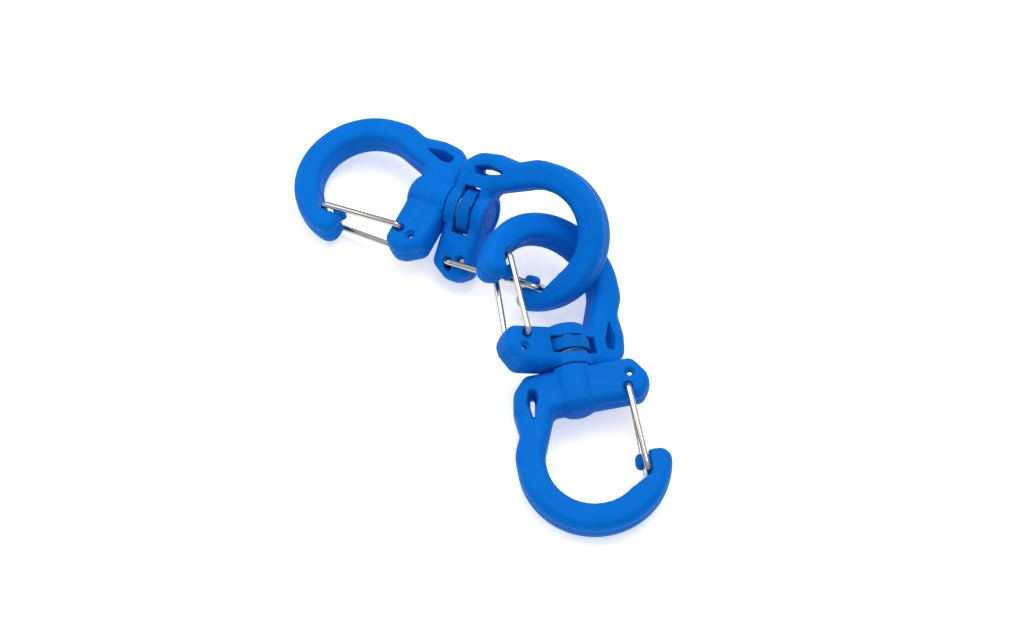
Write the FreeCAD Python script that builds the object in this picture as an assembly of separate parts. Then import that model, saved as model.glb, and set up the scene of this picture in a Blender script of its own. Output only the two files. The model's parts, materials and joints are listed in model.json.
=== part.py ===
import FreeCAD, Part
import math
import os

# Two swivel double carabiners, clipped together and lying on a flat surface.
# Each one is a pair of moulded C-shaped hooks, back to back on a swivel pin, with a sprung wire gate
# on each hook.  All sizes are millimetres and degrees.
#
# Hook frame: origin on the swivel axis at the joint face, +X towards the spine side of the hook,
# +Y outwards along the swivel axis towards the loop, +Z out of the hook's front face.

Vec = FreeCAD.Vector
ACROSS = Vec(1, 0, 0)
OUTWARDS = Vec(0, 1, 0)
FRONT = Vec(0, 0, 1)

# ---- moulded hook -------------------------------------------------------------------------------
THICKNESS = 8.0                 # of the flat body
EDGE_ROUND = 2.2                # along both faces
JOINT_GAP = 0.15                # each hook stops this far from the joint face
LOOP_CENTRE = (-1.1, 24.0)
LOOP_OUTER_R = 18.5
LOOP_INNER_R = 11.6
OUTER_ARC_END = 166             # degrees round the loop, where its arc runs into the nose
INNER_ARC_END = 162
NOSE_END = 24.4                 # how far out the nose stops, over the gate
NOTCH_X = -14.0                 # the nose block's inner side, cut straight through both faces
NOTCH_TOP = 30.7                # end of the notch that takes the gate's closed end
BASE_TOP = 10.7                 # loop side of the base bar
BARREL_R = 5.45                 # hump round the swivel pin
BARREL_BLEND = 1.5              # hollow radius between the hump and the flat faces
BARREL_RIM = 0.4
DOME_R = 5.95
DOME_START = 8.4                # where the hump starts to close towards the loop
DOME_END = 11.5
SLOT_CORNERS = [(9.2, 4.6, 0.3), (11.2, 4.1, 0.4), (12.5, 7.6, 1.5), (11.7, 13.3, 0.3), (9.1, 6.9, 1.5)]
SLOT_WAIST = 0.34               # the slot narrows to this at half thickness
KEY_HALF_THICKNESS = 1.6        # the nose key is thinner than the body, so the gate's legs pass over it

# ---- window round the collar --------------------------------------------------------------------
WINDOW_X = (-6.15, 6.15)
WINDOW_Y = (3.2, 7.6)
WINDOW_BARREL_END = 10.9

# ---- swivel -------------------------------------------------------------------------------------
PIN_R = 2.5
PIN_CLEARANCE = 0.05
HEAD_R = 4.1
HEAD_Y = (8.7, 10.6)
PIN_TAIL = -7.6                 # end of the pin inside the plain hook
COLLAR_R = 5.9
COLLAR_Y = (3.95, 7.0)
CROWN_TOP = 7.4
CROWN_TEETH = 8
SPRING_Y = (3.22, 3.93)
SPRING_THICKNESS = 0.25
SPRING_WAVES = 3
SPRING_R = (3.1, 5.0)
WASHER_R = 4.3
WASHER_HALF = 0.4
RING_Y = -5.6                   # retaining ring, inside the plain hook
RING_THICKNESS = 0.9
RING_OUTER_R = 3.6
RING_SEAT_R = 2.1

# ---- wire gate ----------------------------------------------------------------------------------
WIRE_R = 0.75
LEG_HEIGHT = 4.95               # leg centre above mid thickness, at the pivot
NOSE_HEIGHT = 4.3               # and at the nose
FRONT_PIVOT = (-12.45, 7.9)
BACK_PIVOT = (-13.55, 4.45)
GATE_END = (-12.9, 29.7)
PIVOT_BEND = 1.3
NOSE_BEND = 1.6
TIP_HEIGHT = 2.6                # where each cut end stops, short of the far face
GATE_OPENING = 25.0             # degrees
EYE_R = 1.2                     # recess round each hole, on both faces
EYE_DEPTH = 0.7
VENT_R = 0.6                    # small hole in the bottom of the back leg's far recess

# ---- how the two lie ----------------------------------------------------------------------------
# position of the joint face on the swivel axis, heading and pitch of the axis towards the window
# hook's loop, then the roll of each hook about its own outward axis
FIRST = {"at": (-14.84, 24.80, 11.71), "heading": -26.4, "pitch": 8.8, "window_roll": 145.8, "plain_roll": 4.0}
SECOND = {"at": (14.23, -22.48, 9.55), "heading": 100.7, "pitch": 7.6, "window_roll": -25.5, "plain_roll": -2.8}


def polar(centre, radius, degrees):
    """Point at an angle on a circle."""
    angle = math.radians(degrees)
    return (centre[0] + radius * math.cos(angle), centre[1] + radius * math.sin(angle))


def arc_corner(centre, radius, start, end):
    """Corner whose rounding by the radius is the circle's arc from start to end."""
    half = (end - start) / 2.0
    x, y = polar(centre, radius / math.cos(math.radians(half)), start + half)
    return (x, y, radius)


def on_tangent(centre, radius, degrees, y):
    """Point at height y on the circle's tangent at an angle."""
    touch_x, touch_y = polar(centre, radius, degrees)
    return (touch_x + (y - touch_y) * -math.tan(math.radians(degrees)), y)


def rounded_outline(corners, height=0.0):
    """Closed wire through (x, y, radius) corners, each rounded by its own radius."""
    cuts = []
    count = len(corners)
    for i, (x, y, radius) in enumerate(corners):
        here = Vec(x, y, height)
        before = Vec(corners[i - 1][0], corners[i - 1][1], height) - here
        after = Vec(corners[(i + 1) % count][0], corners[(i + 1) % count][1], height) - here
        before.normalize()
        after.normalize()
        half = before.getAngle(after) / 2.0
        reach = radius / math.tan(half)
        middle = before + after
        middle.normalize()
        nearest = here + middle * (radius / math.sin(half) - radius)
        cuts.append((here + before * reach, nearest, here + after * reach))
    edges = []
    for i, (start, middle, end) in enumerate(cuts):
        edges.append(Part.Arc(start, middle, end).toShape())
        following = cuts[(i + 1) % count][0]
        if end.distanceToPoint(following) > 1e-4:
            edges.append(Part.LineSegment(end, following).toShape())
    return Part.Wire(edges)


def plate(corners, low, high):
    """Solid between two heights with a rounded outline."""
    face = Part.Face(rounded_outline(corners, low))
    return face.extrude(FRONT * (high - low))


def along_axis(radius, low, high):
    """Cylinder on the swivel axis between two distances from the joint face."""
    return Part.makeCylinder(radius, high - low, OUTWARDS * low, OUTWARDS)


def hook_corners():
    """Outline of the hook, round the outside of the loop and back along the inside."""
    outer_top = LOOP_CENTRE[1] + LOOP_OUTER_R
    outer_right = LOOP_CENTRE[0] + LOOP_OUTER_R
    inner_top = LOOP_CENTRE[1] + LOOP_INNER_R
    inner_right = LOOP_CENTRE[0] + LOOP_INNER_R
    nose_x, nose_y = on_tangent(LOOP_CENTRE, LOOP_OUTER_R, OUTER_ARC_END, NOSE_END)
    inner_x, inner_y = on_tangent(LOOP_CENTRE, LOOP_INNER_R, INNER_ARC_END, NOSE_END)
    return [
        (11.4, JOINT_GAP, 2.6),
        (14.9, 4.0, 5.0),
        (15.7, 9.0, 3.0),
        (15.2, 14.6, 4.0),
        (outer_right, 19.5, 8.0),
        (outer_right, outer_top, LOOP_OUTER_R),
        arc_corner(LOOP_CENTRE, LOOP_OUTER_R, 90, OUTER_ARC_END),
        (nose_x, nose_y, 3.0),
        (inner_x, inner_y, 2.3),
        arc_corner(LOOP_CENTRE, LOOP_INNER_R, 90, INNER_ARC_END),
        (inner_right, inner_top, LOOP_INNER_R),
        (inner_right, 21.3, 9.0),
        (6.2, BASE_TOP, 1.8),
        (-15.8, BASE_TOP, 2.4),
        (-18.1, 7.4, 3.0),
        (-17.8, 4.6, 3.0),
        (-14.9, JOINT_GAP, 2.6),
    ]


def nose_key():
    """T-shaped key that the gate's closed end hooks over, joined to the nose block."""
    stem = [(-15.0, 25.5, 0.2), (-11.5, 25.5, 0.2), (-11.5, 27.4, 0.2), (-15.0, 27.4, 0.2)]
    head = [(-12.5, 24.8, 0.6), (-10.5, 24.8, 1.3), (-10.5, 28.0, 1.3), (-12.5, 28.0, 0.6)]
    low = -KEY_HALF_THICKNESS
    return plate(stem, low, -low).fuse(plate(head, low, -low))


def notch_cutter():
    """Notch beside the nose block, open towards the loop, where the gate's closed end rests."""
    corners = [(NOTCH_X, NOSE_END - 3.0, 0.1), (-8.6, NOSE_END - 3.0, 0.1), (-8.6, NOTCH_TOP + 2.6, 0.1),
               (NOTCH_X, NOTCH_TOP, 0.9)]
    return plate(corners, -THICKNESS, THICKNESS)


def slot_cutter():
    """Leaf-shaped slot, tapered from both faces to half thickness."""
    reach = THICKNESS / 2.0 + 0.5
    middle_x = sum(corner[0] for corner in SLOT_CORNERS) / len(SLOT_CORNERS)
    middle_y = sum(corner[1] for corner in SLOT_CORNERS) / len(SLOT_CORNERS)
    waist = []
    for x, y, radius in SLOT_CORNERS:
        narrow_x = middle_x + (x - middle_x) * SLOT_WAIST
        narrow_y = middle_y + (y - middle_y) * (1 + SLOT_WAIST) / 2.0
        waist.append((narrow_x, narrow_y, radius * SLOT_WAIST))
    halves = []
    for height in (reach, -reach):
        wires = [rounded_outline(waist, 0.0), rounded_outline(SLOT_CORNERS, height)]
        halves.append(Part.makeLoft(wires, True, True))
    return halves[0].fuse(halves[1])


def gate_holes():
    """Round hole for the front leg, and the short curved hole that lets the back leg's end swing."""
    reach = THICKNESS / 2.0 + 1.0
    hole_r = WIRE_R + PIN_CLEARANCE
    front = Vec(FRONT_PIVOT[0], FRONT_PIVOT[1], -reach)
    back = Vec(BACK_PIVOT[0], BACK_PIVOT[1], -reach)
    arm = back.distanceToPoint(front)
    depth = reach + TIP_HEIGHT + 0.3
    first_angle = math.degrees(math.atan2(back.y - front.y, back.x - front.x))
    ring = Part.makeCylinder(arm + hole_r, depth, front, FRONT, GATE_OPENING)
    ring = ring.cut(Part.makeCylinder(arm - hole_r, depth, front, FRONT))
    ring.rotate(front, FRONT, first_angle - GATE_OPENING)
    vent = Part.makeCylinder(VENT_R, 2 * reach, back, FRONT)
    tools = [Part.makeCylinder(hole_r, 2 * reach, front, FRONT), ring, vent]
    for angle in (first_angle, first_angle - GATE_OPENING):
        x, y = polar(FRONT_PIVOT, arm, angle)
        tools.append(Part.makeCylinder(hole_r, depth, Vec(x, y, -reach), FRONT))
    for x, y in (FRONT_PIVOT, BACK_PIVOT):
        for side in (1, -1):
            bottom = side * (THICKNESS / 2.0 - EYE_DEPTH)
            tools.append(Part.makeCylinder(EYE_R, 2.0, Vec(x, y, bottom), FRONT * side))
    return tools


def hook_body(barrel):
    """Flat body with rounded edges, its barrel hump, its slot, its key and its gate holes."""
    half = THICKNESS / 2.0
    body = plate(hook_corners(), -half, half)
    rim = [edge for edge in body.Edges if abs(abs(edge.CenterOfMass.z) - half) < 1e-3]
    body = body.makeFillet(EDGE_ROUND, rim)
    body = body.cut(notch_cutter()).fuse([barrel, nose_key()])
    return body.cut([slot_cutter()] + gate_holes())


def flared_bar():
    """Bar along the swivel axis whose sides run out smoothly into both flat faces of the hook."""
    half = THICKNESS / 2.0
    reach = BARREL_R + BARREL_BLEND
    foot_x = math.sqrt(reach ** 2 - (half + BARREL_BLEND) ** 2)
    lean = math.degrees(math.atan2(half + BARREL_BLEND, foot_x))
    edges = []
    for side in (1, -1):
        centres = [(foot_x, half + BARREL_BLEND), (-foot_x, half + BARREL_BLEND)]
        rim = [polar((0, 0), BARREL_R, angle) for angle in (lean, 90, 180 - lean)]
        right = polar(centres[0], BARREL_BLEND, (lean + 180 + 270) / 2.0)
        left = (-right[0], right[1])
        outline = [(foot_x, half), right, rim[0], rim[1], rim[2], left, (-foot_x, half)]
        points = [Vec(x * side, JOINT_GAP, z * side) for x, z in outline]
        for start in (0, 2, 4):
            edges.append(Part.Arc(points[start], points[start + 1], points[start + 2]).toShape())
        edges.append(Part.LineSegment(points[-1], Vec(-foot_x * side, JOINT_GAP, -half * side)).toShape())
    return Part.Face(Part.Wire(edges)).extrude(OUTWARDS * (DOME_END - JOINT_GAP))


def domed_bar():
    """The flared bar, closed at its loop end by a dome a little wider than the barrel."""
    start = Vec(0, JOINT_GAP, 0)
    corner = Vec(DOME_R, JOINT_GAP, 0)
    shoulder = Vec(DOME_R, DOME_START, 0)
    bulge = Vec(DOME_R * 0.77, DOME_START + (DOME_END - DOME_START) * 0.66, 0)
    tip = Vec(0, DOME_END, 0)
    edges = [Part.LineSegment(start, corner), Part.LineSegment(corner, shoulder),
             Part.Arc(shoulder, bulge, tip), Part.LineSegment(tip, start)]
    profile = Part.Wire([edge.toShape() for edge in edges])
    dome = Part.Face(profile).revolve(Vec(0, 0, 0), OUTWARDS, 360)
    return flared_bar().common(dome)


def open_barrel():
    """Barrel of the window hook: the domed bar with a flat-ended drum standing out of its end."""
    drum = along_axis(BARREL_R, JOINT_GAP, WINDOW_BARREL_END)
    rim = [edge for edge in drum.Edges if edge.CenterOfMass.y > WINDOW_BARREL_END - 0.1]
    return domed_bar().fuse(drum.makeFillet(BARREL_RIM, rim))


def plain_hook():
    """Hook that the swivel pin is fixed in."""
    hook = hook_body(domed_bar())
    depth = -PIN_TAIL + 0.2
    socket = along_axis(PIN_R, 0, depth)
    seat = along_axis(WASHER_R + 0.1, 0, WASHER_HALF)
    ring_room = along_axis(RING_OUTER_R + 0.1, -RING_Y - RING_THICKNESS / 2.0, -RING_Y + RING_THICKNESS / 2.0)
    return hook.cut([socket, seat, ring_room])


def window_hook():
    """Hook that turns on the pin, with a window round the collar."""
    hook = hook_body(open_barrel())
    window = Part.makeBox(WINDOW_X[1] - WINDOW_X[0], WINDOW_Y[1] - WINDOW_Y[0], 20.0,
                          Vec(WINDOW_X[0], WINDOW_Y[0], -10.0))
    bore = along_axis(PIN_R + PIN_CLEARANCE, -1.0, WINDOW_BARREL_END)
    head_room = along_axis(HEAD_R + PIN_CLEARANCE, HEAD_Y[0] - PIN_CLEARANCE, WINDOW_BARREL_END + 1.0)
    washer_room = along_axis(WASHER_R + 0.1, -1.0, WASHER_HALF + PIN_CLEARANCE)
    return hook.cut([window, bore, head_room, washer_room])


def swivel_pin():
    """Headed pin: a disc with a ring and a dimple at the loop end, a groove near its tail."""
    pin = along_axis(PIN_R, PIN_TAIL, HEAD_Y[0]).fuse(along_axis(HEAD_R, HEAD_Y[0], HEAD_Y[1]))
    groove = along_axis(PIN_R + 1.0, RING_Y - RING_THICKNESS / 2.0, RING_Y + RING_THICKNESS / 2.0)
    groove = groove.cut(along_axis(RING_SEAT_R, RING_Y - 1.0, RING_Y + 1.0))
    face = HEAD_Y[1]
    ring = along_axis(HEAD_R - 0.55, face - 0.2, face + 0.1).cut(along_axis(HEAD_R - 0.9, face - 0.3, face + 0.2))
    dimple = along_axis(0.45, face - 0.4, face + 0.1)
    boss = along_axis(0.95, face - 0.1, face + 0.12)
    return pin.fuse(boss).cut([groove, ring, dimple]).removeSplitter()


def retaining_collar():
    """Drum with a castellated edge that holds the window hook on the pin."""
    collar = along_axis(COLLAR_R, COLLAR_Y[0], CROWN_TOP)
    collar = collar.cut(along_axis(PIN_R, COLLAR_Y[0] - 1.0, CROWN_TOP + 1.0))
    gap_width = math.pi * COLLAR_R / CROWN_TEETH
    cutters = []
    for index in range(CROWN_TEETH):
        gap = Part.makeBox(gap_width, CROWN_TOP, 2.0, Vec(-gap_width / 2.0, COLLAR_Y[1], COLLAR_R - 1.3))
        gap.rotate(Vec(0, 0, 0), OUTWARDS, 360.0 * index / CROWN_TEETH)
        cutters.append(gap)
    return collar.cut(cutters)


def wavy_circle(radius, level):
    """Closed curve round the axis that rises and falls with the spring's waves."""
    swing = (SPRING_Y[1] - SPRING_Y[0] - SPRING_THICKNESS) / 2.0
    points = []
    steps = SPRING_WAVES * 12
    for step in range(steps):
        angle = 2 * math.pi * step / steps
        lift = level + swing * math.sin(SPRING_WAVES * angle)
        points.append(Vec(radius * math.cos(angle), lift, radius * math.sin(angle)))
    curve = Part.BSplineCurve()
    curve.interpolate(points, PeriodicFlag=True)
    return curve.toShape()


def wave_spring():
    """Wavy washer between the window hook's inner wall and the collar."""
    middle = (SPRING_Y[0] + SPRING_Y[1]) / 2.0
    low = middle - SPRING_THICKNESS / 2.0
    high = middle + SPRING_THICKNESS / 2.0
    inner, outer = SPRING_R
    rails = [wavy_circle(inner, low), wavy_circle(outer, low), wavy_circle(outer, high), wavy_circle(inner, high)]
    faces = [Part.makeRuledSurface(rails[i - 1], rails[i]) for i in range(4)]
    return Part.Solid(Part.Shell(faces))


def thrust_washer():
    """Flat washer between the two hooks."""
    ring = along_axis(WASHER_R, -WASHER_HALF, WASHER_HALF)
    return ring.cut(along_axis(PIN_R + PIN_CLEARANCE, -1.0, 1.0))


def retaining_ring():
    """Split ring in the pin's groove, open on one side."""
    low = RING_Y - RING_THICKNESS / 2.0
    high = RING_Y + RING_THICKNESS / 2.0
    ring = along_axis(RING_OUTER_R, low, high).cut(along_axis(RING_SEAT_R, low - 1.0, high + 1.0))
    opening = Part.makeBox(3.0, 3.0, 6.0, Vec(-1.5, RING_Y - 1.5, 0.0))
    return ring.cut(opening)


def bent_wire(points, bends, radius):
    """Round wire along straight runs joined by tangent bends."""
    edges = []
    start = points[0]
    for i, bend in enumerate(bends):
        corner = points[i + 1]
        back = points[i] - corner
        onward = points[i + 2] - corner
        back.normalize()
        onward.normalize()
        half = back.getAngle(onward) / 2.0
        reach = bend / math.tan(half)
        middle = back + onward
        middle.normalize()
        nearest = corner + middle * (bend / math.sin(half) - bend)
        edges.append(Part.LineSegment(start, corner + back * reach).toShape())
        edges.append(Part.Arc(corner + back * reach, nearest, corner + onward * reach).toShape())
        start = corner + onward * reach
    edges.append(Part.LineSegment(start, points[-1]).toShape())
    path = Part.Wire(edges)
    section = Part.Wire(Part.makeCircle(radius, points[0], points[1] - points[0]))
    return path.makePipeShell([section], True, False)


def wire_gate():
    """One bent wire: a leg on each face, with the cut ends turned in through the two holes."""
    fx, fy = FRONT_PIVOT
    bx, by = BACK_PIVOT
    gx, gy = GATE_END
    points = [Vec(fx, fy, -TIP_HEIGHT), Vec(fx, fy, LEG_HEIGHT), Vec(gx, gy, NOSE_HEIGHT),
              Vec(gx, gy, -NOSE_HEIGHT), Vec(bx, by, -LEG_HEIGHT), Vec(bx, by, TIP_HEIGHT)]
    return bent_wire(points, [PIVOT_BEND, NOSE_BEND, NOSE_BEND, PIVOT_BEND], WIRE_R)


def hook_placement(unit, roll, direction):
    """Placement of a hook frame: direction 1 along the unit's heading, -1 the other way."""
    heading = unit["heading"] if direction > 0 else unit["heading"] + 180
    turn = FreeCAD.Rotation(FRONT, heading)
    turn = turn.multiply(FreeCAD.Rotation(OUTWARDS, -direction * unit["pitch"]))
    turn = turn.multiply(FreeCAD.Rotation(ACROSS, -roll))
    turn = turn.multiply(FreeCAD.Rotation(FRONT, -90))
    return FreeCAD.Placement(Vec(*unit["at"]), turn)


def unit_parts(unit, number):
    """Every piece of one double carabiner, by node name, where it lies."""
    window = hook_placement(unit, unit["window_roll"], 1)
    plain = hook_placement(unit, unit["plain_roll"], -1)
    pieces = {
        "window_hook": (window_hook(), window),
        "window_gate": (wire_gate(), window),
        "plain_hook": (plain_hook(), plain),
        "plain_gate": (wire_gate(), plain),
        "swivel_pin": (swivel_pin(), window),
        "retaining_collar": (retaining_collar(), window),
        "wave_spring": (wave_spring(), window),
        "thrust_washer": (thrust_washer(), window),
        "retaining_ring": (retaining_ring(), window),
    }
    placed = {}
    for name, (shape, placement) in pieces.items():
        shape.Placement = placement
        placed["%s_%d" % (name, number)] = shape
    return placed


def settle(parts):
    """Move everything so that the origin is under the middle, at the lowest point."""
    box = FreeCAD.BoundBox()
    for shape in parts.values():
        box.add(shape.optimalBoundingBox(False, False))
    shift = Vec(-box.Center.x, -box.Center.y, -box.ZMin)
    for shape in parts.values():
        shape.translate(shift)
    return shift


def main():
    """Build both units and write one STEP file per node."""
    parts = unit_parts(FIRST, 1)
    parts.update(unit_parts(SECOND, 2))
    settle(parts)
    os.makedirs("parts", exist_ok=True)
    for name, shape in parts.items():
        shape.exportStep("parts/%s.step" % name)


main()
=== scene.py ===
"""Looks for two linked swivel double carabiners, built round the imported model."""

import json
import math

import bpy
from mathutils import Matrix, Vector


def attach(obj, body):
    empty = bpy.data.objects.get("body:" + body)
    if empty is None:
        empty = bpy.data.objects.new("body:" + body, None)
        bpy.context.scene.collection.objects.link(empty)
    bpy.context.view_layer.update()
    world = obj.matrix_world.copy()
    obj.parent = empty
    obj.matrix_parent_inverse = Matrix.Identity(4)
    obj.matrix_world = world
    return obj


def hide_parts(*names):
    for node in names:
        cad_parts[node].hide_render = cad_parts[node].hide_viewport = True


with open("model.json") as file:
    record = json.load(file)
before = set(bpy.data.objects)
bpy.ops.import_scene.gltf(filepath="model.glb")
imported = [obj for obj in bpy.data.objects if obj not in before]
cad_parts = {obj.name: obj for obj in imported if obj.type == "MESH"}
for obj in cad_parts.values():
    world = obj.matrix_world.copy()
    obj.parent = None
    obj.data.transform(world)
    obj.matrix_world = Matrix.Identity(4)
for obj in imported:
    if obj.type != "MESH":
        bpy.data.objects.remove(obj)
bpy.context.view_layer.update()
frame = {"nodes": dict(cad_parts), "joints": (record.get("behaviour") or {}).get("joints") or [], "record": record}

bl_info = {
    "name": "Swivel Double Carabiners",
    "version": (1, 0, 0),
    "blender": (4, 5, 0),
    "location": "3D View > Sidebar > Carabiners",
    "description": "Moulded hooks, bent wire gates, swivels and studio for a linked pair of double carabiners",
    "category": "Add Mesh",
}

MM = 0.001
UNITS = ("1", "2")
KINDS = ("window", "plain")

# Places on a hook, in its own axes: across towards the spine, outwards to the loop, out of the front face
LOOP_CENTRE = Vector((-1.1, 24.0, 0.0)) * MM
FRONT_HOLE = (-12.45, 7.9)
BACK_HOLE = (-13.55, 4.45)
GATE_END = (-12.9, 29.7)
LEG_HEIGHT = 4.95
NOSE_HEIGHT = 4.3
TIP_HEIGHT = 2.6
TIP_CHAMFER = 0.12
SPRING_MIDDLE = 3.575
SPRING_THICKNESS = 0.25
SPRING_SWING = 0.22
SWIVEL_SOFTENING = 0.5          # of the hooks' softening, because the swivel's pieces are finer
SWIVEL_PASSES = 4

# Parting line of the mould: corners across and outwards, each with its rounding, on both sides of the barrel
SPINE_SEAM = [(9.4, 0.15, 0.0), (11.4, 0.15, 2.6), (14.9, 4.0, 5.0), (15.7, 9.0, 3.0), (15.2, 14.6, 4.0),
              (17.4, 19.5, 8.0), (17.4, 42.5, 18.5), (-15.55, 42.5, 18.5), (-20.07, 24.4, 3.0), (-14.3, 24.4, 0.0)]
LOOP_SEAM = [(-8.24, 33.14, 0.0), (-5.09, 35.6, 11.6), (10.5, 35.6, 11.6), (10.5, 21.3, 9.0), (6.2, 10.7, 1.8),
             (4.5, 10.7, 0.0)]
PIVOT_SEAM = [(-4.5, 10.7, 0.0), (-15.8, 10.7, 2.4), (-18.1, 7.4, 3.0), (-17.8, 4.6, 3.0), (-14.9, 0.15, 2.6),
              (-9.0, 0.15, 0.0)]


class CarabinerShape(bpy.types.PropertyGroup):
    """Sizes of the pieces that are made here."""

    softening: bpy.props.FloatProperty(
        name="Softening", description="Cell size that the moulded edges are softened with",
        default=0.24 * MM, min=0.1 * MM, max=1.0 * MM, precision=5, unit="LENGTH")
    soft_passes: bpy.props.IntProperty(
        name="Soft Passes", description="Smoothing passes over the moulded edges", default=3, min=0, max=40)
    wire_radius: bpy.props.FloatProperty(
        name="Wire Radius", description="Radius of the gate wire", default=0.75 * MM, precision=5, unit="LENGTH")
    pivot_bend: bpy.props.FloatProperty(
        name="Pivot Bend", description="Bend radius over the gate's holes", default=1.3 * MM, precision=5,
        unit="LENGTH")
    nose_bend: bpy.props.FloatProperty(
        name="Nose Bend", description="Bend radius at the gate's closed end", default=1.6 * MM, precision=5,
        unit="LENGTH")
    seam_radius: bpy.props.FloatProperty(
        name="Seam Radius", description="Radius of the fine ridge along the mould's parting line",
        default=0.09 * MM, precision=5, unit="LENGTH")
    spring_radius: bpy.props.FloatProperty(
        name="Spring Radius", description="Middle radius of the wave spring", default=4.05 * MM, precision=5,
        unit="LENGTH")
    spring_width: bpy.props.FloatProperty(
        name="Spring Width", description="Width of the wave spring's band", default=1.9 * MM, precision=5,
        unit="LENGTH")
    spring_waves: bpy.props.IntProperty(name="Spring Waves", description="Waves round the spring", default=3)


class CarabinerFinish(bpy.types.PropertyGroup):
    """Colours and surface finish."""

    moulded_blue: bpy.props.FloatVectorProperty(
        name="Moulded Blue", description="Colour of the moulded hooks", subtype="COLOR", size=3,
        default=(0.0, 0.142, 0.585), min=0.0, max=1.0)
    swivel_blue: bpy.props.FloatVectorProperty(
        name="Swivel Blue", description="Colour of the collar and the pin", subtype="COLOR", size=3,
        default=(0.0, 0.135, 0.555), min=0.0, max=1.0)
    steel: bpy.props.FloatVectorProperty(
        name="Steel", description="Colour of the polished wire", subtype="COLOR", size=3,
        default=(0.5, 0.485, 0.46), min=0.0, max=1.0)
    flow_lines: bpy.props.FloatProperty(
        name="Flow Lines", description="Depth of the fine moulding lines along each hook", subtype="FACTOR",
        default=1.0, min=0.0, max=1.0)


class CarabinerStudio(bpy.types.PropertyGroup):
    """Floor, light and camera."""

    floor_size: bpy.props.FloatProperty(
        name="Floor Size", description="Length of the floor's sides", default=6.0, unit="LENGTH")
    floor_colour: bpy.props.FloatVectorProperty(
        name="Floor Colour", description="Colour of the pale floor", subtype="COLOR", size=3,
        default=(0.95, 0.93, 0.87), min=0.0, max=1.0)
    floor_glow: bpy.props.FloatProperty(
        name="Floor Glow", description="Light that the pale floor gives off, which lifts the shadows",
        default=0.45, min=0.0)
    surround: bpy.props.FloatProperty(
        name="Surround", description="Brightness of the white surround", default=0.75, min=0.0)
    horizon: bpy.props.FloatProperty(
        name="Horizon", description="Brightness of the surround near the floor, which the wires mirror",
        default=0.12, min=0.0)
    key_power: bpy.props.FloatProperty(
        name="Key Light", description="Power of the soft light overhead", default=3.1, min=0.0, unit="POWER")
    side_power: bpy.props.FloatProperty(
        name="Side Light", description="Power of the soft light from the far side", default=1.0, min=0.0,
        unit="POWER")
    elevation: bpy.props.FloatProperty(
        name="Elevation", description="How far the camera looks down", subtype="ANGLE",
        default=math.radians(57.43))
    distance: bpy.props.FloatProperty(
        name="Distance", description="From the camera to the middle of the view", default=0.7348, unit="LENGTH")
    lens: bpy.props.FloatProperty(name="Lens", description="Focal length in millimetres", default=103.8)
    aim: bpy.props.FloatVectorProperty(
        name="Aim", description="Point on the floor that the camera looks at", subtype="XYZ", size=3,
        default=(8.44 * MM, 5.39 * MM, -0.15 * MM), precision=5, unit="LENGTH")


def joint_named(name):
    """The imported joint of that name."""
    return next(joint for joint in frame["joints"] if joint["name"] == name)


def hook_axes(kind, unit):
    """Matrix that takes a hook's own axes to the place where the hook lies."""
    swivel = joint_named("swivel_" + unit)
    mount = next(m for m in frame["record"]["mounts"] if m["name"] == "%s_loop_%s" % (kind, unit))
    outwards = Vector(swivel["axis"]).normalized()
    if kind == "plain":
        outwards.negate()
    front = Vector(mount["axis"]).normalized()
    across = outwards.cross(front)
    turn = Matrix((across, outwards, front)).transposed().to_4x4()
    return Matrix.Translation(swivel["pos_m"]) @ turn


def path_mesh(name, paths):
    """Loose edges along paths whose corners are (point, radius of the bend, width of the rod)."""
    points, edges, bends, widths = [], [], [], []
    for path in paths:
        first = len(points)
        edges.extend((first + i, first + i + 1) for i in range(len(path) - 1))
        for point, bend, width in path:
            points.append(point)
            bends.append(bend)
            widths.append(width)
    mesh = bpy.data.meshes.new(name)
    mesh.from_pydata(points, edges, [])
    mesh.attributes.new("bend", "FLOAT", "POINT").data.foreach_set("value", bends)
    mesh.attributes.new("width", "FLOAT", "POINT").data.foreach_set("value", widths)
    return mesh


def add_socket(tree, name, kind, direction="INPUT", default=None):
    """New named socket on a node group's interface."""
    socket = tree.interface.new_socket(name=name, in_out=direction, socket_type=kind)
    if default is not None:
        socket.default_value = default
    return socket


def chain_out(tree, made, material_socket, after):
    """Ends a tree: smooth shading, real geometry and the material."""
    smooth = tree.nodes.new("GeometryNodeSetShadeSmooth")
    real = tree.nodes.new("GeometryNodeRealizeInstances")
    paint = tree.nodes.new("GeometryNodeSetMaterial")
    last = tree.nodes.new("NodeGroupOutput")
    tree.links.new(made, smooth.inputs["Geometry"])
    tree.links.new(smooth.outputs["Geometry"], real.inputs["Geometry"])
    tree.links.new(real.outputs["Geometry"], paint.inputs["Geometry"])
    tree.links.new(after.outputs[material_socket], paint.inputs["Material"])
    tree.links.new(paint.outputs["Geometry"], last.inputs["Geometry"])


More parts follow.
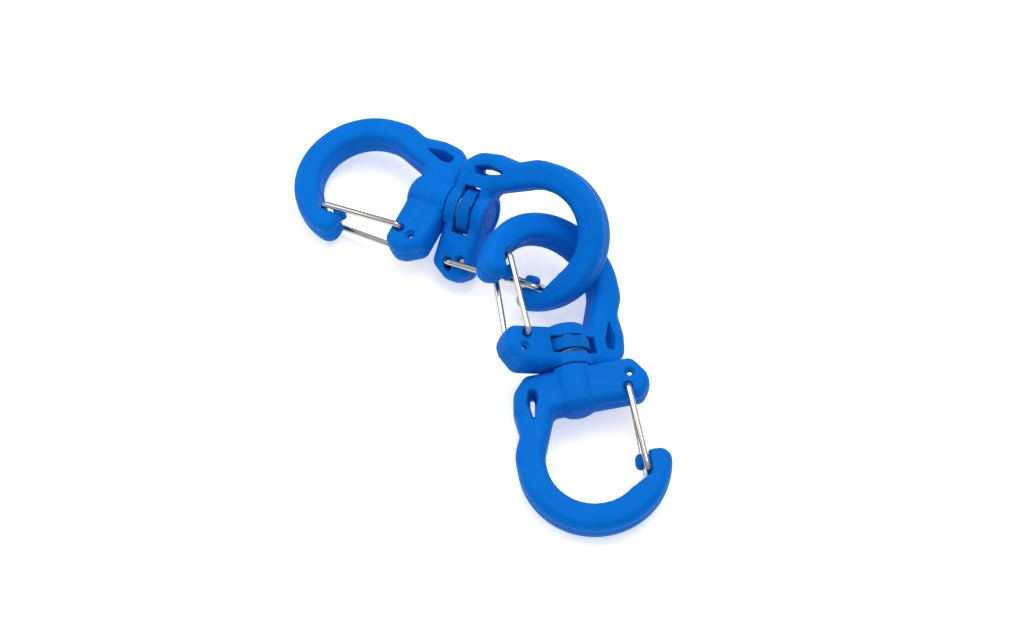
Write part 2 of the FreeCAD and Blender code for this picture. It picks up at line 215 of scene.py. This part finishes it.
def bent_rod_tree():
    """Round rod along a path, with its own bend radius at each corner."""
    tree = bpy.data.node_groups.get("Bent Rod")
    if tree:
        return tree
    tree = bpy.data.node_groups.new("Bent Rod", "GeometryNodeTree")
    add_socket(tree, "Geometry", "NodeSocketGeometry")
    add_socket(tree, "Radius", "NodeSocketFloat", default=0.75 * MM)
    add_socket(tree, "Bend Steps", "NodeSocketInt", default=12)
    add_socket(tree, "Sides", "NodeSocketInt", default=24)
    add_socket(tree, "Material", "NodeSocketMaterial")
    add_socket(tree, "Geometry", "NodeSocketGeometry", "OUTPUT")
    start = tree.nodes.new("NodeGroupInput")
    curve = tree.nodes.new("GeometryNodeMeshToCurve")
    bend = tree.nodes.new("GeometryNodeInputNamedAttribute")
    bend.inputs["Name"].default_value = "bend"
    fillet = tree.nodes.new("GeometryNodeFilletCurve")
    fillet.mode = "POLY"
    width = tree.nodes.new("GeometryNodeInputNamedAttribute")
    width.inputs["Name"].default_value = "width"
    ring = tree.nodes.new("GeometryNodeCurvePrimitiveCircle")
    sweep = tree.nodes.new("GeometryNodeCurveToMesh")
    sweep.inputs["Fill Caps"].default_value = True
    link = tree.links.new
    link(start.outputs["Geometry"], curve.inputs["Mesh"])
    link(curve.outputs["Curve"], fillet.inputs["Curve"])
    link(start.outputs["Bend Steps"], fillet.inputs["Count"])
    link(bend.outputs["Attribute"], fillet.inputs["Radius"])
    link(start.outputs["Sides"], ring.inputs["Resolution"])
    link(start.outputs["Radius"], ring.inputs["Radius"])
    link(fillet.outputs["Curve"], sweep.inputs["Curve"])
    link(ring.outputs["Curve"], sweep.inputs["Profile Curve"])
    link(width.outputs["Attribute"], sweep.inputs["Scale"])
    chain_out(tree, sweep.outputs["Mesh"], "Material", start)
    return tree


def wave_spring_tree():
    """Flat band round an axis that rises and falls by a whole number of waves."""
    tree = bpy.data.node_groups.get("Wave Spring")
    if tree:
        return tree
    tree = bpy.data.node_groups.new("Wave Spring", "GeometryNodeTree")
    add_socket(tree, "Geometry", "NodeSocketGeometry")
    add_socket(tree, "Radius", "NodeSocketFloat", default=4.05 * MM)
    add_socket(tree, "Width", "NodeSocketFloat", default=1.9 * MM)
    add_socket(tree, "Thickness", "NodeSocketFloat", default=0.25 * MM)
    add_socket(tree, "Swing", "NodeSocketFloat", default=0.2 * MM)
    add_socket(tree, "Waves", "NodeSocketInt", default=3)
    add_socket(tree, "Material", "NodeSocketMaterial")
    add_socket(tree, "Geometry", "NodeSocketGeometry", "OUTPUT")
    start = tree.nodes.new("NodeGroupInput")
    ring = tree.nodes.new("GeometryNodeCurvePrimitiveCircle")
    ring.inputs["Resolution"].default_value = 96
    place = tree.nodes.new("GeometryNodeSplineParameter")
    turns = tree.nodes.new("ShaderNodeMath")
    turns.operation = "MULTIPLY"
    angle = tree.nodes.new("ShaderNodeMath")
    angle.operation = "MULTIPLY"
    angle.inputs[1].default_value = 2 * math.pi
    sine = tree.nodes.new("ShaderNodeMath")
    sine.operation = "SINE"
    rise = tree.nodes.new("ShaderNodeMath")
    rise.operation = "MULTIPLY"
    offset = tree.nodes.new("ShaderNodeCombineXYZ")
    lift = tree.nodes.new("GeometryNodeSetPosition")
    upright = tree.nodes.new("GeometryNodeSetCurveNormal")
    upright.mode = "Z_UP"
    band = tree.nodes.new("GeometryNodeCurvePrimitiveQuadrilateral")
    sweep = tree.nodes.new("GeometryNodeCurveToMesh")
    link = tree.links.new
    link(start.outputs["Radius"], ring.inputs["Radius"])
    link(place.outputs["Factor"], turns.inputs[0])
    link(start.outputs["Waves"], turns.inputs[1])
    link(turns.outputs[0], angle.inputs[0])
    link(angle.outputs[0], sine.inputs[0])
    link(sine.outputs[0], rise.inputs[0])
    link(start.outputs["Swing"], rise.inputs[1])
    link(rise.outputs[0], offset.inputs["Z"])
    link(ring.outputs["Curve"], lift.inputs["Geometry"])
    link(offset.outputs["Vector"], lift.inputs["Offset"])
    link(lift.outputs["Geometry"], upright.inputs["Curve"])
    link(start.outputs["Width"], band.inputs["Width"])
    link(start.outputs["Thickness"], band.inputs["Height"])
    link(upright.outputs["Curve"], sweep.inputs["Curve"])
    link(band.outputs["Curve"], sweep.inputs["Profile Curve"])
    chain_out(tree, sweep.outputs["Mesh"], "Material", start)
    return tree


def grown(mesh, name, tree, values):
    """Object whose mesh is what the tree makes from the starting mesh."""
    piece = bpy.data.objects.new(name, mesh)
    bpy.context.scene.collection.objects.link(piece)
    modifier = piece.modifiers.new(tree.name, "NODES")
    modifier.node_group = tree
    for item in tree.interface.items_tree:
        if item.in_out == "INPUT" and item.name in values:
            modifier[item.identifier] = values[item.name]
    return settled(piece)


def settled(piece):
    """The piece with its modifiers' result as its own plain mesh."""
    graph = bpy.context.evaluated_depsgraph_get()
    mesh = bpy.data.meshes.new_from_object(piece.evaluated_get(graph), depsgraph=graph)
    piece.modifiers.clear()
    old = piece.data
    piece.data = mesh
    mesh.name = piece.name
    bpy.data.meshes.remove(old)
    if not mesh.vertices:
        raise RuntimeError("%s came out empty" % piece.name)
    return piece


def coat(piece, material):
    """Gives a piece one material all over."""
    piece.data.materials.clear()
    piece.data.materials.append(material)


def mark_place(piece, axes):
    """Stores each point's place in the hook's own axes, from the loop's centre, in millimetres."""
    back = axes.inverted()
    values = []
    for vertex in piece.data.vertices:
        values.extend((back @ vertex.co - LOOP_CENTRE) / MM)
    piece.data.attributes.new("place", "FLOAT_VECTOR", "POINT").data.foreach_set("vector", values)


def new_material(name):
    """Empty node material and its Principled shader."""
    material = bpy.data.materials.new(name)
    material.use_nodes = True
    return material, material.node_tree.nodes["Principled BSDF"]


def moulded_grain_group():
    """Fine lines of moulding round the loop, with a faint grain and slow changes of tone."""
    group = bpy.data.node_groups.get("Moulded Grain")
    if group:
        return group
    group = bpy.data.node_groups.new("Moulded Grain", "ShaderNodeTree")
    add_socket(group, "Place", "NodeSocketVector")
    add_socket(group, "Line Spacing", "NodeSocketFloat", default=2.2)
    add_socket(group, "Line Depth", "NodeSocketFloat", default=0.35)
    add_socket(group, "Grain Size", "NodeSocketFloat", default=9.0)
    add_socket(group, "Tone", "NodeSocketFloat", "OUTPUT")
    add_socket(group, "Height", "NodeSocketFloat", "OUTPUT")
    node = group.nodes.new
    link = group.links.new
    start, last = node("NodeGroupInput"), node("NodeGroupOutput")
    parts = node("ShaderNodeSeparateXYZ")
    link(start.outputs["Place"], parts.inputs[0])
    flat = node("ShaderNodeCombineXYZ")
    link(parts.outputs["X"], flat.inputs["X"])
    link(parts.outputs["Y"], flat.inputs["Y"])
    radius = node("ShaderNodeVectorMath")
    radius.operation = "LENGTH"
    link(flat.outputs["Vector"], radius.inputs[0])
    along = node("ShaderNodeVectorMath")
    along.operation = "SCALE"
    along.inputs["Scale"].default_value = 0.035
    link(start.outputs["Place"], along.inputs[0])
    spaced = node("ShaderNodeMath")
    spaced.operation = "MULTIPLY"
    link(radius.outputs["Value"], spaced.inputs[0])
    link(start.outputs["Line Spacing"], spaced.inputs[1])
    across = node("ShaderNodeCombineXYZ")
    link(spaced.outputs[0], across.inputs["X"])
    stretched = node("ShaderNodeVectorMath")
    stretched.operation = "ADD"
    link(along.outputs["Vector"], stretched.inputs[0])
    link(across.outputs["Vector"], stretched.inputs[1])
    lines = node("ShaderNodeTexNoise")
    lines.inputs["Scale"].default_value = 1.0
    lines.inputs["Detail"].default_value = 3.0
    link(stretched.outputs["Vector"], lines.inputs["Vector"])
    grain = node("ShaderNodeTexNoise")
    grain.inputs["Detail"].default_value = 2.0
    link(start.outputs["Place"], grain.inputs["Vector"])
    link(start.outputs["Grain Size"], grain.inputs["Scale"])
    slow = node("ShaderNodeTexNoise")
    slow.inputs["Scale"].default_value = 0.12
    slow.inputs["Detail"].default_value = 1.0
    link(start.outputs["Place"], slow.inputs["Vector"])
    line_height = node("ShaderNodeMath")
    line_height.operation = "MULTIPLY"
    link(lines.outputs["Fac"], line_height.inputs[0])
    link(start.outputs["Line Depth"], line_height.inputs[1])
    height = node("ShaderNodeMath")
    height.operation = "MULTIPLY_ADD"
    height.inputs[1].default_value = 0.12
    link(grain.outputs["Fac"], height.inputs[0])
    link(line_height.outputs[0], height.inputs[2])
    link(height.outputs[0], last.inputs["Height"])
    tone = node("ShaderNodeMath")
    tone.operation = "MULTIPLY_ADD"
    tone.inputs[1].default_value = 0.6
    link(slow.outputs["Fac"], tone.inputs[0])
    link(line_height.outputs[0], tone.inputs[2])
    link(tone.outputs[0], last.inputs["Tone"])
    return group


def moulded_plastic(name, colour, roughness, from_hook, line_depth):
    """Satin moulded plastic whose lines run round the loop."""
    material, shader = new_material(name)
    tree = material.node_tree
    link = tree.links.new
    if from_hook:
        place = tree.nodes.new("ShaderNodeAttribute")
        place.attribute_name = "place"
        source = place.outputs["Vector"]
    else:
        place = tree.nodes.new("ShaderNodeTexCoord")
        scale = tree.nodes.new("ShaderNodeVectorMath")
        scale.operation = "SCALE"
        scale.inputs["Scale"].default_value = 1.0 / MM
        link(place.outputs["Object"], scale.inputs[0])
        source = scale.outputs["Vector"]
    grain = tree.nodes.new("ShaderNodeGroup")
    grain.node_tree = moulded_grain_group()
    grain.inputs["Line Depth"].default_value = line_depth
    link(source, grain.inputs["Place"])
    tint = tree.nodes.new("ShaderNodeMix")
    tint.data_type = "RGBA"
    tint.inputs["A"].default_value = (*(channel * 0.76 for channel in colour), 1.0)
    tint.inputs["B"].default_value = (*(min(1.0, channel * 1.1) for channel in colour), 1.0)
    link(grain.outputs["Tone"], tint.inputs["Factor"])
    link(tint.outputs["Result"], shader.inputs["Base Color"])
    gloss = tree.nodes.new("ShaderNodeMapRange")
    gloss.inputs["To Min"].default_value = roughness - 0.05
    gloss.inputs["To Max"].default_value = roughness + 0.07
    link(grain.outputs["Tone"], gloss.inputs["Value"])
    link(gloss.outputs["Result"], shader.inputs["Roughness"])
    bump = tree.nodes.new("ShaderNodeBump")
    bump.inputs["Strength"].default_value = 0.9
    bump.inputs["Distance"].default_value = 0.05 * MM
    link(grain.outputs["Height"], bump.inputs["Height"])
    link(bump.outputs["Normal"], shader.inputs["Normal"])
    shader.inputs["Specular IOR Level"].default_value = 0.04
    return material


def polished_steel(name, colour, roughness):
    """Polished steel with fine drawing marks."""
    material, shader = new_material(name)
    tree = material.node_tree
    link = tree.links.new
    place = tree.nodes.new("ShaderNodeTexCoord")
    marks = tree.nodes.new("ShaderNodeTexNoise")
    marks.inputs["Scale"].default_value = 900.0
    marks.inputs["Detail"].default_value = 4.0
    link(place.outputs["Object"], marks.inputs["Vector"])
    gloss = tree.nodes.new("ShaderNodeMapRange")
    gloss.inputs["To Min"].default_value = roughness - 0.04
    gloss.inputs["To Max"].default_value = roughness + 0.06
    link(marks.outputs["Fac"], gloss.inputs["Value"])
    link(gloss.outputs["Result"], shader.inputs["Roughness"])
    tint = tree.nodes.new("ShaderNodeMix")
    tint.data_type = "RGBA"
    tint.inputs["A"].default_value = (*(channel * 0.92 for channel in colour), 1.0)
    tint.inputs["B"].default_value = (*colour, 1.0)
    link(marks.outputs["Fac"], tint.inputs["Factor"])
    link(tint.outputs["Result"], shader.inputs["Base Color"])
    shader.inputs["Metallic"].default_value = 1.0
    return material


def material_for(name):
    """The named finish, made when it is first asked for."""
    found = bpy.data.materials.get(name)
    if found:
        return found
    finish = bpy.context.scene.carabiner_finish
    if name == "Satin Nylon":
        return moulded_plastic(name, finish.moulded_blue, 0.46, True, finish.flow_lines)
    if name == "Satin Acetal":
        return moulded_plastic(name, finish.swivel_blue, 0.42, True, finish.flow_lines * 0.4)
    if name == "Washer Nylon":
        return moulded_plastic(name, finish.swivel_blue, 0.5, False, 0.1)
    if name == "Bright Wire":
        return polished_steel(name, finish.steel, 0.09)
    if name == "Plain Spring Steel":
        return polished_steel(name, finish.steel, 0.3)
    raise RuntimeError("no finish is named %s" % name)


def softened(node, name, cell, passes):
    """Copy of a CAD node with its sharp edges softened as a mould leaves them."""
    source = frame["nodes"][node]
    piece = bpy.data.objects.new(name, source.data.copy())
    bpy.context.scene.collection.objects.link(piece)
    weld = piece.modifiers.new("weld", "WELD")
    weld.merge_threshold = 0.002 * MM
    cells = piece.modifiers.new("cells", "REMESH")
    cells.mode = "VOXEL"
    cells.voxel_size = cell
    cells.use_smooth_shade = True
    smooth = piece.modifiers.new("smooth", "SMOOTH")
    smooth.factor = 0.5
    smooth.iterations = passes
    settled(piece)
    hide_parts(node)
    return piece


class CARABINER_OT_mould_hooks(bpy.types.Operator):
    """Make the four moulded hooks with soft edges"""

    bl_idname = "carabiner.mould_hooks"
    bl_label = "Mould Hooks"

    def execute(self, context):
        shape = context.scene.carabiner_shape
        for unit in UNITS:
            for kind in KINDS:
                node = "%s_hook_%s" % (kind, unit)
                piece = softened(node, "moulded_" + node, shape.softening, shape.soft_passes)
                mark_place(piece, hook_axes(kind, unit))
                coat(piece, material_for("Satin Nylon"))
                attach(piece, "%s_body_%s" % (kind, unit))
        return {"FINISHED"}


class CARABINER_OT_fit_swivels(bpy.types.Operator):
    """Make the collars and pins that show in the windows"""

    bl_idname = "carabiner.fit_swivels"
    bl_label = "Fit Swivels"

    def execute(self, context):
        shape = context.scene.carabiner_shape
        for unit in UNITS:
            for node in ("retaining_collar_", "swivel_pin_"):
                cell = shape.softening * SWIVEL_SOFTENING
                piece = softened(node + unit, "moulded_" + node + unit, cell, SWIVEL_PASSES)
                mark_place(piece, hook_axes("window", unit))
                coat(piece, material_for("Satin Acetal"))
                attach(piece, "plain_body_" + unit)
            washer = frame["nodes"]["thrust_washer_" + unit]
            coat(washer, material_for("Washer Nylon"))
            ring = frame["nodes"]["retaining_ring_" + unit]
            coat(ring, material_for("Plain Spring Steel"))
        return {"FINISHED"}


class CARABINER_OT_raise_seams(bpy.types.Operator):
    """Raise the fine ridges that the mould's parting line leaves"""

    bl_idname = "carabiner.raise_seams"
    bl_label = "Raise Seams"

    def execute(self, context):
        shape = context.scene.carabiner_shape
        for unit in UNITS:
            for kind in KINDS:
                axes = hook_axes(kind, unit)
                name = "seam_%s_hook_%s" % (kind, unit)
                paths = [[(axes @ (Vector((x, y, 0.0)) * MM), bend * MM, 1.0) for x, y, bend in corners]
                         for corners in (SPINE_SEAM, LOOP_SEAM, PIVOT_SEAM)]
                values = {"Radius": shape.seam_radius, "Bend Steps": 24, "Sides": 8,
                          "Material": material_for("Satin Nylon")}
                piece = grown(path_mesh(name, paths), name, bent_rod_tree(), values)
                mark_place(piece, axes)
                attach(piece, "%s_body_%s" % (kind, unit))
        return {"FINISHED"}


class CARABINER_OT_wind_springs(bpy.types.Operator):
    """Make the wavy spring washers beside the collars"""

    bl_idname = "carabiner.wind_springs"
    bl_label = "Wind Wave Springs"

    def execute(self, context):
        shape = context.scene.carabiner_shape
        upright = Matrix.Rotation(-math.pi / 2.0, 4, "X")
        for unit in UNITS:
            node = "wave_spring_" + unit
            values = {"Radius": shape.spring_radius, "Width": shape.spring_width, "Waves": shape.spring_waves,
                      "Thickness": SPRING_THICKNESS * MM, "Swing": SPRING_SWING * MM,
                      "Material": material_for("Plain Spring Steel")}
            piece = grown(bpy.data.meshes.new(node), "coiled_" + node, wave_spring_tree(), values)
            middle = Matrix.Translation(Vector((0.0, SPRING_MIDDLE * MM, 0.0)))
            piece.data.transform(hook_axes("window", unit) @ middle @ upright)
            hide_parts(node)
            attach(piece, "plain_body_" + unit)
        return {"FINISHED"}


class CARABINER_OT_bend_gates(bpy.types.Operator):
    """Bend the four wire gates"""

    bl_idname = "carabiner.bend_gates"
    bl_label = "Bend Wire Gates"

    def execute(self, context):
        shape = context.scene.carabiner_shape
        pivot, nose = shape.pivot_bend, shape.nose_bend
        corners = [((*FRONT_HOLE, -TIP_HEIGHT), 0.0, 0.8), ((*FRONT_HOLE, TIP_CHAMFER - TIP_HEIGHT), 0.0, 1.0),
                   ((*FRONT_HOLE, LEG_HEIGHT), pivot, 1.0), ((*GATE_END, NOSE_HEIGHT), nose, 1.0),
                   ((*GATE_END, -NOSE_HEIGHT), nose, 1.0), ((*BACK_HOLE, -LEG_HEIGHT), pivot, 1.0),
                   ((*BACK_HOLE, TIP_HEIGHT - TIP_CHAMFER), 0.0, 1.0), ((*BACK_HOLE, TIP_HEIGHT), 0.0, 0.8)]
        for unit in UNITS:
            for kind in KINDS:
                node = "%s_gate_%s" % (kind, unit)
                axes = hook_axes(kind, unit)
                path = [(axes @ (Vector(point) * MM), bend, width) for point, bend, width in corners]
                values = {"Radius": shape.wire_radius, "Bend Steps": 14, "Sides": 32,
                          "Material": material_for("Bright Wire")}
                piece = grown(path_mesh(node, [path]), "bent_" + node, bent_rod_tree(), values)
                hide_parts(node)
                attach(piece, "%s_gate_body_%s" % (kind, unit))
        return {"FINISHED"}


class CARABINER_OT_set_stage(bpy.types.Operator):
    """Set the pale floor, the soft lights and the camera"""

    bl_idname = "carabiner.set_stage"
    bl_label = "Set Stage"

    def soft_light(self, name, power, size, aim, offset):
        """Square soft light at an offset from a point, turned towards it."""
        light = bpy.data.lights.new(name, "AREA")
        light.energy = power
        light.size = size
        lamp = bpy.data.objects.new(name, light)
        lamp.location = aim + offset
        lamp.rotation_euler = (-offset).to_track_quat("-Z", "Y").to_euler()
        bpy.context.scene.collection.objects.link(lamp)

    def shade_surround(self, tree, sky, studio):
        """White overhead, falling to a darker grey round the horizon."""
        place = tree.nodes.new("ShaderNodeTexCoord")
        parts = tree.nodes.new("ShaderNodeSeparateXYZ")
        fall = tree.nodes.new("ShaderNodeMapRange")
        fall.inputs["From Min"].default_value = 0.05
        fall.inputs["From Max"].default_value = 0.6
        fall.inputs["To Min"].default_value = studio.horizon
        fall.inputs["To Max"].default_value = studio.surround
        tree.links.new(place.outputs["Generated"], parts.inputs[0])
        tree.links.new(parts.outputs["Z"], fall.inputs["Value"])
        tree.links.new(fall.outputs["Result"], sky.inputs["Strength"])

    def execute(self, context):
        scene = context.scene
        studio = scene.carabiner_studio
        half = studio.floor_size / 2.0
        mesh = bpy.data.meshes.new("studio_floor")
        corners = [(-half, -half, 0), (half, -half, 0), (half, half, 0), (-half, half, 0)]
        mesh.from_pydata(corners, [], [(0, 1, 2, 3)])
        floor = bpy.data.objects.new("studio_floor", mesh)
        scene.collection.objects.link(floor)
        material, shader = new_material("pale_floor")
        shader.inputs["Base Color"].default_value = (*studio.floor_colour, 1.0)
        shader.inputs["Roughness"].default_value = 0.9
        shader.inputs["Specular IOR Level"].default_value = 0.1
        shader.inputs["Emission Color"].default_value = (1.0, 0.99, 0.93, 1.0)
        shader.inputs["Emission Strength"].default_value = studio.floor_glow
        coat(floor, material)
        world = scene.world or bpy.data.worlds.new("studio")
        scene.world = world
        world.use_nodes = True
        sky = world.node_tree.nodes["Background"]
        sky.inputs["Color"].default_value = (1.0, 1.0, 1.0, 1.0)
        self.shade_surround(world.node_tree, sky, studio)
        aim = Vector(studio.aim)
        self.soft_light("key_light", studio.key_power, 0.6, aim, Vector((0.15, 0.25, 0.75)))
        self.soft_light("side_light", studio.side_power, 0.4, aim, Vector((-0.55, 0.2, 0.45)))
        camera = bpy.data.objects.new("camera", bpy.data.cameras.new("camera"))
        camera.data.lens = studio.lens
        camera.data.sensor_width = 36.0
        camera.data.sensor_fit = "HORIZONTAL"
        camera.data.clip_start = 0.01
        back = Vector((0.0, -math.cos(studio.elevation), math.sin(studio.elevation)))
        camera.location = aim + back * studio.distance
        camera.rotation_euler = (-back).to_track_quat("-Z", "Y").to_euler()
        scene.collection.objects.link(camera)
        scene.camera = camera
        scene.view_settings.view_transform = "Standard"
        return {"FINISHED"}


OPERATORS = (
    CARABINER_OT_set_stage,
    CARABINER_OT_mould_hooks,
    CARABINER_OT_raise_seams,
    CARABINER_OT_fit_swivels,
    CARABINER_OT_wind_springs,
    CARABINER_OT_bend_gates,
)


class CARABINER_PT_panel(bpy.types.Panel):
    """Carabiner tools and settings"""

    bl_idname = "CARABINER_PT_panel"
    bl_label = "Carabiners"
    bl_space_type = "VIEW_3D"
    bl_region_type = "UI"
    bl_category = "Carabiners"

    def draw(self, context):
        for settings in (context.scene.carabiner_shape, context.scene.carabiner_finish,
                         context.scene.carabiner_studio):
            box = self.layout.box()
            for name in settings.__annotations__:
                box.prop(settings, name)
        for operator in OPERATORS:
            self.layout.operator(operator.bl_idname)


SETTINGS = (CarabinerShape, CarabinerFinish, CarabinerStudio)


def register():
    """Registers the settings, the operators and the panel."""
    for kind in (*SETTINGS, *OPERATORS, CARABINER_PT_panel):
        bpy.utils.register_class(kind)
    bpy.types.Scene.carabiner_shape = bpy.props.PointerProperty(type=CarabinerShape)
    bpy.types.Scene.carabiner_finish = bpy.props.PointerProperty(type=CarabinerFinish)
    bpy.types.Scene.carabiner_studio = bpy.props.PointerProperty(type=CarabinerStudio)


def unregister():
    """Takes away what register added."""
    del bpy.types.Scene.carabiner_studio
    del bpy.types.Scene.carabiner_finish
    del bpy.types.Scene.carabiner_shape
    for kind in (CARABINER_PT_panel, *reversed(OPERATORS), *reversed(SETTINGS)):
        bpy.utils.unregister_class(kind)


def main():
    """Makes every piece in order."""
    register()
    bpy.ops.carabiner.set_stage()
    bpy.ops.carabiner.mould_hooks()
    bpy.ops.carabiner.raise_seams()
    bpy.ops.carabiner.fit_swivels()
    bpy.ops.carabiner.wind_springs()
    bpy.ops.carabiner.bend_gates()


if __name__ == "__main__":
    main()
